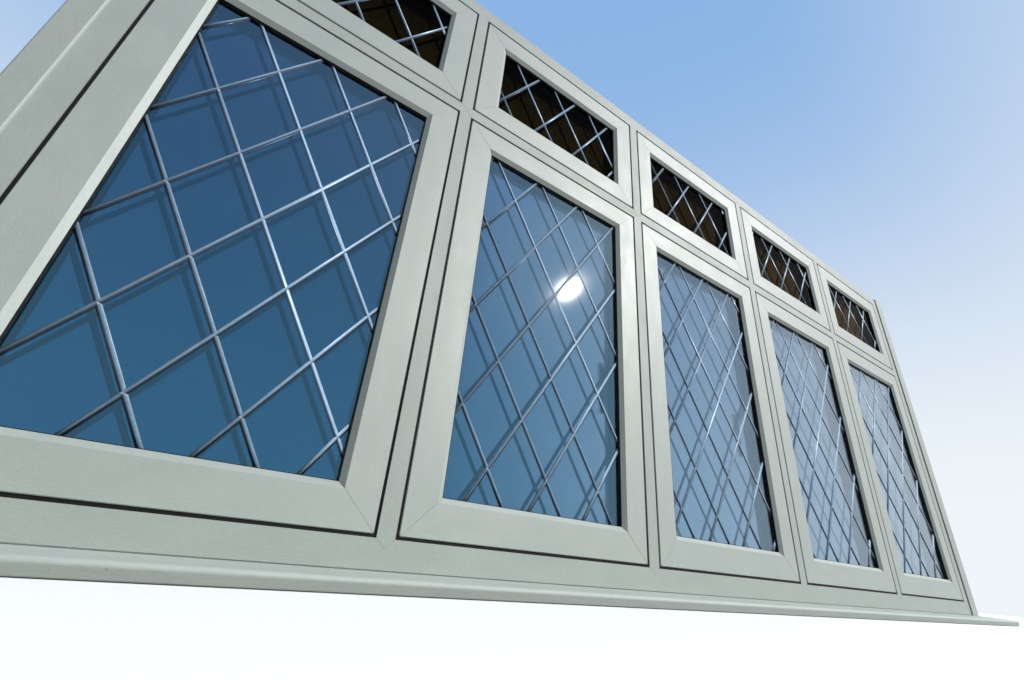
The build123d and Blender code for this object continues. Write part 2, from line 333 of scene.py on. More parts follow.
def new_group(name, inputs, outputs):
    """An empty shader node group with named sockets; returns its tree, its input node and its output node."""
    tree = bpy.data.node_groups.new(name, "ShaderNodeTree")
    kinds = {"vector": "NodeSocketVector", "value": "NodeSocketFloat", "colour": "NodeSocketColor"}
    for direction, sockets in (("INPUT", inputs), ("OUTPUT", outputs)):
        for socket, (kind, default) in sockets.items():
            made = tree.interface.new_socket(socket, in_out=direction, socket_type=kinds[kind])
            if default is not None:
                made.default_value = default
    return tree, tree.nodes.new("NodeGroupInput"), tree.nodes.new("NodeGroupOutput")


def use_group(tree, name, inputs):
    """Place a shared node group in a tree and feed it."""
    group = bpy.data.node_groups.get(name) or GROUP_MAKERS[name]()
    return add_node(tree, "ShaderNodeGroup", inputs, node_tree=group)


def upright_vector(tree, place):
    """A vector whose X runs up."""
    parts = add_node(tree, "ShaderNodeSeparateXYZ", {0: place})
    return add_node(tree, "ShaderNodeCombineXYZ", {
        "X": parts.outputs["Z"], "Y": parts.outputs["Y"], "Z": parts.outputs["X"]}).outputs[0]


def member_direction_group():
    """Turns a place on a mitred casement into one whose X runs along the member it lies on."""
    tree, given, result = new_group(
        "Member direction",
        {"Vector": ("vector", None), "Pitch": ("value", 0.5), "Middle X": ("value", 0.0),
         "Middle Z": ("value", 0.0), "Half Width": ("value", 0.2), "Half Height": ("value", 0.4)},
        {"Vector": ("vector", None), "Mitre": ("value", None)})
    place = add_node(tree, "ShaderNodeSeparateXYZ", {0: given.outputs["Vector"]})
    x = maths(tree, "SUBTRACT", place.outputs["X"], given.outputs["Middle X"])
    half_pitch = maths(tree, "MULTIPLY", given.outputs["Pitch"], 0.5)
    low = maths(tree, "MULTIPLY", half_pitch, -1.0)
    wrap = maths(tree, "WRAP", x, half_pitch, low)
    z = maths(tree, "SUBTRACT", place.outputs["Z"], given.outputs["Middle Z"])
    side_depth = maths(tree, "SUBTRACT", given.outputs["Half Width"], maths(tree, "ABSOLUTE", wrap))
    rail_depth = maths(tree, "SUBTRACT", given.outputs["Half Height"], maths(tree, "ABSOLUTE", z))
    gap = maths(tree, "SUBTRACT", side_depth, rail_depth)
    upright = maths(tree, "LESS_THAN", gap, 0.0)
    turned = upright_vector(tree, given.outputs["Vector"])
    mix = add_node(tree, "ShaderNodeMix", {0: upright, 4: given.outputs["Vector"], 5: turned},
                   data_type="VECTOR")
    near = mapped(tree, maths(tree, "ABSOLUTE", gap), 0.0, MITRE_SHADE_REACH, 1.0, 0.0)
    feed(result, {"Vector": mix.outputs[1], "Mitre": near})
    return tree


def foil_grain_group():
    """Embossed grain of the foil: streaks and pores along X."""
    tree, given, result = new_group(
        "Foil grain",
        {"Vector": ("vector", None), "Length": ("value", 0.045), "Width": ("value", 0.0022)},
        {"Tone": ("value", None), "Height": ("value", None)})
    along = maths(tree, "DIVIDE", 1.0, given.outputs["Length"])
    across = maths(tree, "DIVIDE", 1.0, given.outputs["Width"])
    stretch = add_node(tree, "ShaderNodeCombineXYZ", {"X": along, "Y": across, "Z": across})
    scaled = add_node(tree, "ShaderNodeVectorMath", {0: given.outputs["Vector"], 1: stretch.outputs[0]},
                      operation="MULTIPLY").outputs[0]
    streaks = noise(tree, scaled, 1.0, 3.0, 0.62)
    pores = noise(tree, scaled, 1.0, 1.0, 0.4, offset=(7.3, 2.1, 5.7), stretch=(2.6, 2.2, 2.2))
    pore_mask = mapped(tree, pores, 0.60, 0.70)
    bands = noise(tree, scaled, 1.0, 2.0, 0.5, offset=(1.9, 8.4, 3.2), stretch=(0.12, 0.07, 0.07))
    tone = maths(tree, "ADD", maths(tree, "MULTIPLY", streaks, 0.6), maths(tree, "MULTIPLY", bands, 0.4))
    tone = mapped(tree, tone, 0.30, 0.70)
    tone = maths(tree, "SUBTRACT", tone, maths(tree, "MULTIPLY", pore_mask, 0.35))
    height = maths(tree, "SUBTRACT", streaks, maths(tree, "MULTIPLY", pore_mask, 0.6))
    feed(result, {"Tone": tone, "Height": height})
    return tree


def specks_group():
    """Sparse specks of dirt and a faint uneven film of dust."""
    tree, given, result = new_group(
        "Specks and film",
        {"Vector": ("vector", None), "Amount": ("value", 1.0)},
        {"Specks": ("value", None), "Film": ("value", None)})
    cells = add_node(tree, "ShaderNodeTexVoronoi", {"Vector": given.outputs["Vector"], "Scale": 46.0})
    pick = add_node(tree, "ShaderNodeSeparateColor", {0: cells.outputs["Color"]}).outputs[0]
    chosen = maths(tree, "GREATER_THAN", pick, 0.90)
    wobble = noise(tree, given.outputs["Vector"], 900.0, 2.0)
    edge = maths(tree, "ADD", cells.outputs["Distance"], maths(tree, "MULTIPLY", wobble, 0.05))
    dot = mapped(tree, edge, 0.055, 0.085, 1.0, 0.0)
    specks = maths(tree, "MULTIPLY", maths(tree, "MULTIPLY", dot, chosen), given.outputs["Amount"])
    film = noise(tree, given.outputs["Vector"], 9.0, 5.0, 0.65)
    film = maths(tree, "MULTIPLY", mapped(tree, film, 0.38, 0.72), given.outputs["Amount"])
    feed(result, {"Specks": specks, "Film": film})
    return tree


GROUP_MAKERS = {
    "Member direction": member_direction_group,
    "Foil grain": foil_grain_group,
    "Specks and film": specks_group,
}


def new_material(name):
    """A material with one Principled shader; returns it with its tree, shader and Object coordinates."""
    material = bpy.data.materials.new(name)
    material.use_nodes = True
    tree = material.node_tree
    place = add_node(tree, "ShaderNodeTexCoord").outputs["Object"]
    return material, tree, tree.nodes["Principled BSDF"], place


def bumped(tree, height, strength, distance):
    """A normal bumped by a height."""
    inputs = {"Height": height, "Strength": strength, "Distance": distance}
    return add_node(tree, "ShaderNodeBump", inputs).outputs[0]


def foil_material(name, direction, row=None, spread=0.0, tone=1.0):
    """Foil with grain along X, along Z or along the members of a row of casements."""
    foil = bpy.context.scene.window_foil
    material, tree, shader, place = new_material(name)
    mitre = None
    if direction == "members":
        low, high, middle = node_box(f"sash_{row}_1")
        member = use_group(tree, "Member direction", {
            "Vector": place, "Pitch": column_pitch(), "Middle X": middle.x, "Middle Z": middle.z,
            "Half Width": (high.x - low.x) / 2, "Half Height": (high.z - low.z) / 2})
        vector = member.outputs["Vector"]
        mitre = member.outputs["Mitre"]
    elif direction == "upright":
        vector = upright_vector(tree, place)
    else:
        vector = place
    grain = use_group(tree, "Foil grain", {
        "Vector": vector, "Length": foil.grain_length, "Width": foil.grain_width})
    dirt = use_group(tree, "Specks and film", {"Vector": place, "Amount": 1.0})
    colour = blended(tree, grain.outputs["Tone"],
                     colour4(foil.shade_colour, tone), colour4(foil.colour, tone))
    film = maths(tree, "MULTIPLY", dirt.outputs["Film"], 0.16)
    colour = blended(tree, film, colour, DIRT_FILM)
    if mitre is not None:
        colour = blended(tree, maths(tree, "MULTIPLY", mitre, 0.10), colour, MITRE_SHADE)
    specks = maths(tree, "MULTIPLY", dirt.outputs["Specks"], 0.55)
    colour = blended(tree, specks, colour, DIRT_SPECK)
    sheen = foil.roughness + spread
    rough = mapped(tree, grain.outputs["Tone"], 0.0, 1.0, sheen + 0.07, sheen - 0.04)
    rough = maths(tree, "ADD", rough, maths(tree, "MULTIPLY", dirt.outputs["Film"], 0.08))
    feed(shader, {"Base Color": colour, "Roughness": rough, "Specular IOR Level": 1.0,
                  "Normal": bumped(tree, grain.outputs["Height"], 0.6, 0.0002)})
    return material


def cap_material():
    """Moulded plastic of the sill's ends, with a fine stipple."""
    material, tree, shader, place = new_material("moulded_cap")
    stipple = noise(tree, place, 1400.0, 2.0)
    broad = noise(tree, place, 30.0, 3.0)
    colour = bpy.context.scene.window_foil.cap_colour
    feed(shader, {
        "Base Color": blended(tree, mapped(tree, broad, 0.3, 0.7), colour4(colour, 0.93), colour4(colour)),
        "Roughness": mapped(tree, stipple, 0.3, 0.7, 0.38, 0.5),
        "Normal": bumped(tree, stipple, 0.3, 0.0002)})
    return material


def rubber_material(name, colour, dust):
    """Black rubber with a thin bloom of dust."""
    material, tree, shader, place = new_material(name)
    bloom = noise(tree, place, 60.0, 5.0, 0.7)
    fine = noise(tree, place, 1800.0, 2.0)
    amount = maths(tree, "MULTIPLY", mapped(tree, bloom, 0.45, 0.75), dust)
    feed(shader, {
        "Base Color": blended(tree, amount, colour4(colour), RUBBER_DUST),
        "Roughness": mapped(tree, bloom, 0.3, 0.7, 0.55, 0.75),
        "Specular IOR Level": 0.2,
        "Normal": bumped(tree, fine, 0.25, 0.0002)})
    return material


def spacer_material():
    """Dark spacer bar with rows of fine holes, painted near black inside as painted shade."""
    material, tree, shader, place = new_material("spacer_bar")
    dots = add_node(tree, "ShaderNodeTexVoronoi", {"Vector": place, "Scale": 330.0, "Randomness": 0.0})
    hole = mapped(tree, dots.outputs["Distance"], 0.16, 0.24, 1.0, 0.0)
    feed(shader, {
        "Base Color": blended(tree, hole, SPACER_METAL, SPACER_HOLE_SHADE),
        "Roughness": mapped(tree, hole, 0.0, 1.0, 0.42, 0.8),
        "Normal": bumped(tree, hole, -0.4, 0.0003)})
    return material


def outer_glass_material(row, tint, graze):
    """Outer pane: a deep colour painted as a reflection under a mirror coat, darkened upwards as painted
    shade and paled as a painted reflection where seen along the glass.
    """
    material, tree, shader, place = new_material(f"outer_glass_{row}")
    low, high, _ = node_box(f"glass_{row}_1")
    parts = add_node(tree, "ShaderNodeSeparateXYZ", {0: place})
    # Painted shade: each pane's colour darkens upwards, along a cloudy line
    cloud = maths(tree, "SUBTRACT", noise(tree, place, 2.2, 2.0), 0.5)
    level = maths(tree, "ADD", parts.outputs["Z"], maths(tree, "MULTIPLY", cloud, 0.25))
    fade = mapped(tree, level, low.z, high.z, smooth=True)
    # Painted reflection: the pane turns to its graze colour where seen along the glass, less so on the unit
    # at the left end
    facing = add_node(tree, "ShaderNodeLayerWeight", {"Blend": 0.5}).outputs["Facing"]
    slant = mapped(tree, facing, *SLANT_RANGES[row], smooth=True)
    near = mapped(tree, parts.outputs["X"], *END_UNIT_EDGE, END_UNIT_SLANT, 1.0, smooth=True)
    body = blended(tree, fade, colour4(tint, 1.35), colour4(tint, 0.45))
    smear = noise(tree, place, 14.0, 4.0, 0.6)
    feed(shader, {
        "Base Color": blended(tree, maths(tree, "MULTIPLY", slant, near), body, colour4(graze)),
        "Roughness": mapped(tree, smear, 0.3, 0.8, 0.005, 0.009),
        "Transmission Weight": 1.0, **GLASS_GLOSS[row]})
    return material


def inner_glass_material():
    """Inner pane: clear float glass."""
    material, tree, shader, place = new_material("inner_glass")
    smear = noise(tree, place, 20.0, 4.0, 0.6)
    tint = bpy.context.scene.window_glass.inner_tint
    feed(shader, {
        "Base Color": blended(tree, smear, colour4(tint), colour4(tint, 0.94)),
        "Roughness": mapped(tree, smear, 0.4, 0.8, 0.004, 0.010),
        "Transmission Weight": 1.0, "IOR": 1.5})
    return material


def lead_material(name, bright, dull):
    """Lead, painted pale on its upper flanks as painted light and dark on its lower flanks as painted shade,
    with dull patches and a slightly hammered surface.
    """
    material, tree, shader, place = new_material(name)
    patch = noise(tree, place, 130.0, 4.0, 0.6)
    fine = noise(tree, place, 900.0, 2.0)
    # Painted light on the upper flanks and painted shade on the lower ones, read from the strips' layer
    painted_light = add_node(tree, "ShaderNodeAttribute", attribute_name=PAINTED_LIGHT_LAYER).outputs["Fac"]
    pale = maths(tree, "MULTIPLY", painted_light, mapped(tree, patch, 0.3, 0.7, 0.75, 1.0))
    hammered = maths(tree, "ADD", patch, maths(tree, "MULTIPLY", fine, 0.3))
    feed(shader, {
        "Base Color": blended(tree, pale, colour4(dull), colour4(bright)),
        "Roughness": mapped(tree, patch, 0.3, 0.7, 0.42, 0.34),
        "IOR": 1.8, "Specular Tint": (0.55, 0.76, 1.0, 1.0),
        "Normal": bumped(tree, hammered, 0.25, 0.0003)})
    return material


def handle_material():
    """Satin plated metal, brushed along Z."""
    material, tree, shader, place = new_material("satin_plated")
    brush = noise(tree, place, 1.0, 2.0, 0.6, stretch=(2600.0, 2600.0, 90.0))
    colour = bpy.context.scene.window_handles.colour
    feed(shader, {
        "Base Color": blended(tree, brush, colour4(colour, 0.9), colour4(colour)),
        "Roughness": mapped(tree, brush, 0.3, 0.7, 0.26, 0.38),
        "Metallic": 1.0, "Normal": bumped(tree, brush, 0.2, 0.0001)})
    return material


def dress(name, material):
    """Give a node of the frame its finish."""
    places = NODES[name].material_slots
    if not places:
        raise RuntimeError(f"{name} has no material slot")
    for place in places:
        place.link = "OBJECT"
        place.material = material


def new_object(name, data):
    """Place an object in the scene."""
    item = bpy.data.objects.new(name, data)
    bpy.context.scene.collection.objects.link(item)
    return item


def mesh_object(name, mesh, material):
    """Make an object from a bmesh and give it its finish."""
    data = bpy.data.meshes.new(name)
    mesh.to_mesh(data)
    mesh.free()
    data.materials.append(material)
    return new_object(name, data)


def new_piece(name, mesh, material):
    """Make a piece that rides with the window."""
    mesh.normal_update()
    piece = mesh_object(name, mesh, material)
    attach(piece, BODY)
    return piece


def make_camera():
    """The camera, at the photograph's place and angle."""
    stage = bpy.context.scene.window_stage
    data = bpy.data.cameras.new("camera")
    data.sensor_fit = "HORIZONTAL"
    data.sensor_width = 36.0
    data.lens = stage.camera_lens
    data.clip_start = 0.01
    camera = new_object("camera", data)
    heading = Matrix.Rotation(-stage.camera_heading, 4, "Z")
    rise = Matrix.Rotation(math.pi / 2 + stage.camera_rise, 4, "X")
    roll = Matrix.Rotation(stage.camera_roll, 4, "Z")
    camera.matrix_world = Matrix.Translation(stage.camera_place) @ heading @ rise @ roll
    bpy.context.scene.camera = camera


def sun_direction():
    """Direction from the window towards the main light."""
    stage = bpy.context.scene.window_stage
    return Vector((
        math.sin(stage.sun_heading) * math.cos(stage.sun_height),
        -math.cos(stage.sun_heading) * math.cos(stage.sun_height),
        math.sin(stage.sun_height)))


def make_sun():
    """The main light, from the front and the right."""
    stage = bpy.context.scene.window_stage
    data = bpy.data.lights.new("sun", "SUN")
    data.energy = stage.sun_strength
    data.angle = stage.sun_spread
    data.color = SUN_COLOUR
    sun = new_object("sun", data)
    sun.rotation_mode = "QUATERNION"
    sun.rotation_quaternion = sun_direction().to_track_quat("Z", "Y")


def make_world():
    """A pale backdrop that the camera, gloss and glass see, and a fill light from above on the right."""
    stage = bpy.context.scene.window_stage
    world = bpy.data.worlds.new("studio")
    world.use_nodes = True
    bpy.context.scene.world = world
    tree = world.node_tree
    tree.nodes.clear()
    direction = add_node(tree, "ShaderNodeTexCoord").outputs["Generated"]
    height = add_node(tree, "ShaderNodeSeparateXYZ", {0: direction}).outputs["Z"]
    rise = mapped(tree, height, *SKY_HEIGHTS, smooth=True)
    sky = blended(tree, rise, colour4(stage.horizon_colour), colour4(stage.zenith_colour))
    nearness, lean = (
        add_node(tree, "ShaderNodeVectorMath", {0: direction, 1: aim}, operation="DOT_PRODUCT").outputs[1]
        for aim in (sun_direction(), FILL_SIDE))
    halo = mapped(tree, nearness, HALO_START, 1.0, 0.0, stage.glow_strength, smooth=True)
    core = mapped(tree, nearness, CORE_START, 1.0, 0.0, stage.glow_strength * CORE_GAIN, smooth=True)
    sky = blended(tree, maths(tree, "ADD", halo, core), sky, WHITE)
    backdrop = add_node(tree, "ShaderNodeBackground", {"Color": sky, "Strength": 1.0})
    brightest = stage.fill_strength + stage.fill_slant
    strength = mapped(tree, lean, FILL_START, 1.0, stage.fill_strength, brightest, smooth=True)
    fill = add_node(tree, "ShaderNodeBackground", {"Color": colour4(stage.fill_colour), "Strength": strength})
    path = add_node(tree, "ShaderNodeLightPath")
    seen = maths(tree, "MAXIMUM", path.outputs["Is Camera Ray"], path.outputs["Is Glossy Ray"])
    seen = maths(tree, "MAXIMUM", seen, path.outputs["Is Transmission Ray"])
    mix = add_node(tree, "ShaderNodeMixShader", {0: seen, 1: fill.outputs[0], 2: backdrop.outputs[0]})
    add_node(tree, "ShaderNodeOutputWorld", {"Surface": mix.outputs[0]})


def floor_material():
    """Pale floor that throws little light back and fades out at its rim."""
    stage = bpy.context.scene.window_stage
    material, tree, shader, place = new_material("studio_floor")
    mottle = noise(tree, place, 3.0, 3.0)
    pale = blended(tree, mottle, colour4(stage.floor_colour, 0.985), colour4(stage.floor_colour))
    path = add_node(tree, "ShaderNodeLightPath")
    thrown = mapped(tree, path.outputs["Is Diffuse Ray"], 0.0, 1.0, 0.0, 1.0 - stage.floor_bounce)
    feed(shader, {"Base Color": blended(tree, thrown, pale, BLACK), "Roughness": 0.9})
    distance = add_node(tree, "ShaderNodeVectorMath", {0: place}, operation="LENGTH").outputs["Value"]
    fade = mapped(tree, distance, *(stage.floor_reach * end for end in FLOOR_FADE), smooth=True)
    clear = add_node(tree, "ShaderNodeBsdfTransparent")
    mix = add_node(tree, "ShaderNodeMixShader", {0: fade, 1: shader.outputs[0], 2: clear.outputs[0]})
    feed(tree.nodes["Material Output"], {"Surface": mix.outputs[0]})
    return material


def make_floor():
    """A pale round floor under the sill."""
    mesh = bmesh.new()
    bmesh.ops.create_circle(mesh, cap_ends=True, segments=FLOOR_SEGMENTS,
                            radius=bpy.context.scene.window_stage.floor_reach)
    bmesh.ops.translate(mesh, vec=(0, 0, CAD_BOX[0].z - FLOOR_GAP), verts=mesh.verts)
    floor = mesh_object("floor", mesh, floor_material())


class CASEMENT_OT_stage(bpy.types.Operator):
    """Make the camera, the light and the studio floor"""
    bl_idname = "casement.stage"
    bl_label = "Stage"

    def execute(self, context):
        context.scene.view_settings.view_transform = "Standard"
        make_camera()
        make_world()
        make_sun()
        make_floor()
        return {"FINISHED"}


class CASEMENT_OT_foil(bpy.types.Operator):
    """Foil the frame, the casements, the trims and the sill"""
    bl_idname = "casement.foil"
    bl_label = "Foil"

    def execute(self, context):
        foil = context.scene.window_foil
        looks = {"spread": foil.frame_spread, "tone": foil.frame_tone}
        level = foil_material("foil_level", "level", **looks)
        upright = foil_material("foil_upright", "upright", **looks)
        dress("sill", foil_material("foil_sill", "level", spread=foil.frame_spread, tone=foil.sill_tone))
        for name in NODES:
            if name.startswith(("transom_", "frame_bottom", "frame_head")):
                dress(name, level)
            elif name.startswith(("mullion_", "frame_jamb_", "end_trim_")):
                dress(name, upright)
        for row in ROWS:
            casement = foil_material(f"foil_casement_{row}", "members", row)
            for column in range(1, COLUMNS + 1):
                dress(f"sash_{row}_{column}", casement)
        dress("glazing_beads", level)
        cap = cap_material()
        for side in ("left", "right"):
            dress(f"sill_end_cap_{side}", cap)
        return {"FINISHED"}


class CASEMENT_OT_seals(bpy.types.Operator):
    """Finish the gaskets, the weather seals and the spacer bars"""
    bl_idname = "casement.seals"
    bl_label = "Seals"

    def execute(self, context):
        dress("glazing_gaskets", rubber_material("glazing_rubber", (0.006, 0.006, 0.007), 0.15))
        dress("weather_seals", rubber_material("seal_rubber", (0.003, 0.003, 0.003), 0.03))
        dress("spacer_bars", spacer_material())
        return {"FINISHED"}


def soften(mesh, edges, offset, segments):
    """Round edges over."""
    bmesh.ops.bevel(mesh, geom=edges, offset=offset, offset_type="OFFSET", segments=segments,
                    profile=0.5, affect="EDGES", material=-1)


def make_pane(name, low, high, material):
    """One pane of glass with ground edges, between two corners."""
    mesh = bmesh.new()
    bmesh.ops.create_cube(mesh, size=1.0)
    bmesh.ops.scale(mesh, vec=high - low, verts=mesh.verts)
    bmesh.ops.translate(mesh, vec=(low + high) / 2, verts=mesh.verts)
    soften(mesh, mesh.edges, bpy.context.scene.window_glass.arris, 1)
    return new_piece(name, mesh, material)


class CASEMENT_OT_panes(bpy.types.Operator):
    """Set the outer and the inner pane of every sealed unit"""
    bl_idname = "casement.panes"
    bl_label = "Panes"

    def execute(self, context):
        glass = context.scene.window_glass
        # Painted reflection and painted shade colours for the outer panes of each row
        painted_reflections = {"lower": (glass.tall_painted_sky, glass.tall_painted_graze), "upper": (glass.short_painted_shade, glass.short_painted_graze)}
        inner = inner_glass_material()
        for row in ROWS:
            outer = outer_glass_material(row, *painted_reflections[row])
            for column in range(1, COLUMNS + 1):
                node = f"glass_{row}_{column}"
                low, high, _ = node_box(node)
                front = high.copy()
                front.y = low.y + glass.pane_thickness
                back = low.copy()
                back.y = high.y - glass.pane_thickness
                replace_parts(make_pane(f"outer_pane_{row}_{column}", low, front, outer), node)
                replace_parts(make_pane(f"inner_pane_{row}_{column}", back, high, inner), node)
        return {"FINISHED"}


def sight_size(row, column):
    """Corners of the glass that shows in one casement, and the places of its street face and room face."""
    glass_low, glass_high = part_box(f"glass_{row}_{column}")
    sash_low, sash_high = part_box(f"sash_{row}_{column}")
    gasket_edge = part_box("glazing_gaskets")[0].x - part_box("sash_lower_1")[0].x
    hidden = gasket_edge + bpy.context.scene.window_glass.gasket_cover
    inset = Vector((hidden, 0, hidden))
    return sash_low + inset, sash_high - inset, glass_low.y, glass_high.y


def halve(mesh, verts):
    """Cut away the half of a shape that lies past the XZ plane."""
    geom = set(verts)
    for vert in verts:
        geom.update(vert.link_edges)
        geom.update(vert.link_faces)
    return bmesh.ops.bisect_plane(mesh, geom=list(geom), dist=1e-6, plane_co=(0, 0, 0), plane_no=(0, 1, 0),
                                  clear_outer=True)


def add_strip(mesh, start, end, across, rise, layer, pale):
    """Add an oval lead strip from start to end, its flat on the XZ plane and its round side towards -Y.

    The layer gets the given paleness as painted light, but the strip's lower edge gets none, as painted
    shade.
    """
    run = end - start
    verts = bmesh.ops.create_circle(mesh, cap_ends=True, segments=STRIP_SEGMENTS, radius=across / 2)["verts"]
    for vert in verts:
        # Painted light on the strip's upper side, painted shade on its lower edge
        vert[layer] = pale if vert.co.x < across * PAINTED_SHADE_FROM else 0.0
    bmesh.ops.scale(mesh, vec=(1, rise / (across / 2), 1), verts=verts)
    cut = halve(mesh, verts)
    face = next(item for item in cut["geom"] if isinstance(item, bmesh.types.BMFace))
    grown = bmesh.ops.extrude_face_region(mesh, geom=[face], use_keep_orig=True)
    far = [item for item in grown["geom"] if isinstance(item, bmesh.types.BMVert)]
    bmesh.ops.translate(mesh, vec=(0, 0, run.length), verts=far)
    verts = list(face.verts) + far
    turn = Matrix.Rotation(math.atan2(run.x, run.z), 4, "Y")
    bmesh.ops.transform(mesh, matrix=Matrix.Translation(start) @ turn, verts=verts)


def trim_to_sight(mesh, low, high):
    """Cut everything outside a rectangle away and close the cuts."""
    for place, outward in ((low, (-1, 0, 0)), (low, (0, 0, -1)), (high, (1, 0, 0)), (high, (0, 0, 1))):
        geom = mesh.verts[:] + mesh.edges[:] + mesh.faces[:]
        cut = bmesh.ops.bisect_plane(mesh, geom=geom, dist=1e-6, plane_co=place, plane_no=outward,
                                     clear_outer=True)
        edges = [item for item in cut["geom_cut"] if isinstance(item, bmesh.types.BMEdge)]
        bmesh.ops.holes_fill(mesh, edges=edges, sides=0)


def lattice_origin(row, column, side):
    """One crossing of a unit's lattice; each lattice stands a few millimetres off the common pattern."""
    leads = bpy.context.scene.window_leads
    shift_x, shift_z = LATTICE_SHIFTS[row][column - 1]
    if side == "room":
        shift_x += ROOM_SHIFT[0]
        shift_z += ROOM_SHIFT[1]
    return leads.crossing_x + shift_x * MM, leads.crossing_z + shift_z * MM


def lattice_crossings(low, high, origin):
    """Places of the crossings of the lattice inside a rectangle."""
    leads = bpy.context.scene.window_leads
    half_width = leads.diamond_width / 2
    half_height = leads.diamond_height / 2
    first_column = math.ceil((low.x - origin[0]) / half_width)
    last_column = math.floor((high.x - origin[0]) / half_width)
    first_row = math.ceil((low.z - origin[1]) / half_height)
    last_row = math.floor((high.z - origin[1]) / half_height)
    for column in range(first_column, last_column + 1):
        for row in range(first_row, last_row + 1):
            if (column + row) % 2 == 0:
                yield origin[0] + column * half_width, origin[1] + row * half_height


def lattice_lines(low, high, origin, sign):
    """Starts and ends of the strips that lean one way and reach into a rectangle."""
    leads = bpy.context.scene.window_leads
    slope = sign * leads.diamond_height / leads.diamond_width
    heights = [corner_z - slope * corner_x for corner_x in (low.x, high.x) for corner_z in (low.z, high.z)]
    base = origin[1] - slope * origin[0]
    first = math.floor((min(heights) - base) / leads.diamond_height)
    last = math.ceil((max(heights) - base) / leads.diamond_height)
    for number in range(first, last + 1):
        level = base + number * leads.diamond_height
        first_x, last_x = sorted((z - level) / slope for z in (low.z - LINE_MARGIN, high.z + LINE_MARGIN))
        start = max(first_x, low.x - LINE_MARGIN)
        stop = min(last_x, high.x + LINE_MARGIN)
        if stop > start:
            yield (start, level + slope * start), (stop, level + slope * stop)


def add_solder(mesh, x, z, width, rise):
    """Add a low dome of solder at a crossing, its flat on the XZ plane and its round side towards -Y."""
    verts = bmesh.ops.create_icosphere(mesh, subdivisions=2, radius=width / 2)["verts"]
    bmesh.ops.scale(mesh, vec=(1, rise / (width / 2), 1), verts=verts)
    cut = halve(mesh, verts)
    edges = [item for item in cut["geom_cut"] if isinstance(item, bmesh.types.BMEdge)]
    bmesh.ops.holes_fill(mesh, edges=edges, sides=0)
    kept = {vert for edge in edges for vert in edge.verts}
    kept.update(item for item in cut["geom"] if isinstance(item, bmesh.types.BMVert) and item.is_valid)
    bmesh.ops.translate(mesh, vec=(x, 0, z), verts=list(kept))


def settle(name, mesh, depth, facing, material, flat_ends):
    """Lay a lattice's mesh on a face of the glass as a piece, smooth all over or all but its ends."""
    bmesh.ops.scale(mesh, vec=(1, facing, 1), verts=mesh.verts)
    bmesh.ops.translate(mesh, vec=(0, depth, 0), verts=mesh.verts)
    bmesh.ops.recalc_face_normals(mesh, faces=mesh.faces)
    for face in mesh.faces:
        face.smooth = not flat_ends or len(face.verts) == 4
    new_piece(name, mesh, material)


def make_leads(name, low, high, depth, facing, origin, materials, shuffle):
    """The lattice on one face of one pane: strips both ways and solder on the crossings."""
    leads = bpy.context.scene.window_leads
    strips = bmesh.new()
    layer = strips.verts.layers.float.new(PAINTED_LIGHT_LAYER)
    # Strips rising to the right get less painted light than the others
    ways = ((1, leads.strip_rise, leads.forward_painted_light), (-1, leads.strip_rise * CROSSED_RISE, 1.0))
    for sign, rise, pale in ways:
        for (start_x, start_z), (end_x, end_z) in lattice_lines(low, high, origin, sign):
            start = Vector((start_x + shuffle.uniform(-STRIP_WANDER, STRIP_WANDER) * MM, 0, start_z))
            end = Vector((end_x + shuffle.uniform(-STRIP_WANDER, STRIP_WANDER) * MM, 0, end_z))
            add_strip(strips, start, end, leads.strip_width, rise, layer, pale)
    trim_to_sight(strips, low, high)
    settle(f"leads_{name}", strips, depth, facing, materials[0], flat_ends=True)
    solder = bmesh.new()
    for x, z in lattice_crossings(low, high, origin):
        add_solder(solder, x, z, leads.solder_width * shuffle.uniform(*SOLDER_SIZES), leads.solder_rise)
    # The solder gets full painted light all over
    layer = solder.verts.layers.float.new(PAINTED_LIGHT_LAYER)
    for vert in solder.verts:
        vert[layer] = 1.0
    settle(f"solder_{name}", solder, depth, facing, materials[1], flat_ends=False)


class CASEMENT_OT_leads(bpy.types.Operator):
    """Lay the lead lattices on the street face and the room face of every unit"""
    bl_idname = "casement.leads"
    bl_label = "Leads"

    def execute(self, context):
        leads = context.scene.window_leads
        shuffle = random.Random(11)
        materials = (
            lead_material("lead_strip", leads.colour, leads.painted_shade_colour),
            lead_material("lead_solder", leads.solder_colour, leads.painted_shade_colour),
        )
        for row in ROWS:
            for column in range(1, COLUMNS + 1):
                low, high, front, back = sight_size(row, column)
                sides = (("street", front - leads.bedding, 1), ("room", back + leads.bedding, -1))
                for side, depth, facing in sides:
                    origin = lattice_origin(row, column, side)
                    make_leads(f"{side}_{row}_{column}", low, high, depth, facing, origin, materials, shuffle)
        return {"FINISHED"}


def handle_places():
    """Middle of every handle on the back of its casement, with the way that its lever points."""
    handles = bpy.context.scene.window_handles
    for column in range(1, COLUMNS + 1):
        low, high, middle = node_box(f"sash_lower_{column}")
        edge = high.x - handles.edge_distance
        if column > (COLUMNS + 1) / 2:
            edge = low.x + handles.edge_distance
        yield f"lower_{column}", Vector((edge, high.y, middle.z)), Vector((0, 0, -1))
        low, high, middle = node_box(f"sash_upper_{column}")
        yield f"upper_{column}", Vector((middle.x, high.y, low.z + handles.edge_distance)), Vector((1, 0, 0))


def handle_turn(place, along):
    """Placement whose Y runs along the lever and whose Z points into the room."""
    out = Vector((0, 1, 0))
    across = along.cross(out)
    turn = Matrix((across, along, out)).transposed().to_4x4()
    return Matrix.Translation(place) @ turn


